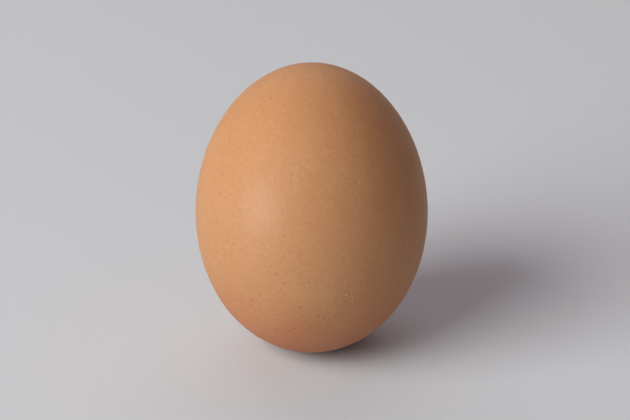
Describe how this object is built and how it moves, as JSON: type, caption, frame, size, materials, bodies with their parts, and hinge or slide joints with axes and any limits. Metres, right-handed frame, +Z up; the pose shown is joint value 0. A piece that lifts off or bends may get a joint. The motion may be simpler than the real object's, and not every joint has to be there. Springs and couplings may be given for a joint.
{
  "type": "whole brown egg in its shell",
  "caption": "Whole brown hen's egg in its matte, finely pored shell, standing on its blunt end on a small flat spot.",
  "frame": {"origin": "centre of the small flat spot under the blunt end, on the surface that the egg stands on", "axes": "+Z up along the egg's long axis, from the blunt end to the pointed end; the egg is round about it, and -Y is the side the camera sees"},
  "size_m": [0.0444, 0.0444, 0.0571],
  "materials": {
    "eggshell": "matte, with fine pores and darker speckles and a faint soft sheen"
  },
  "bodies": {
    "root": {"egg": "eggshell"}
  },
  "joints": []
}
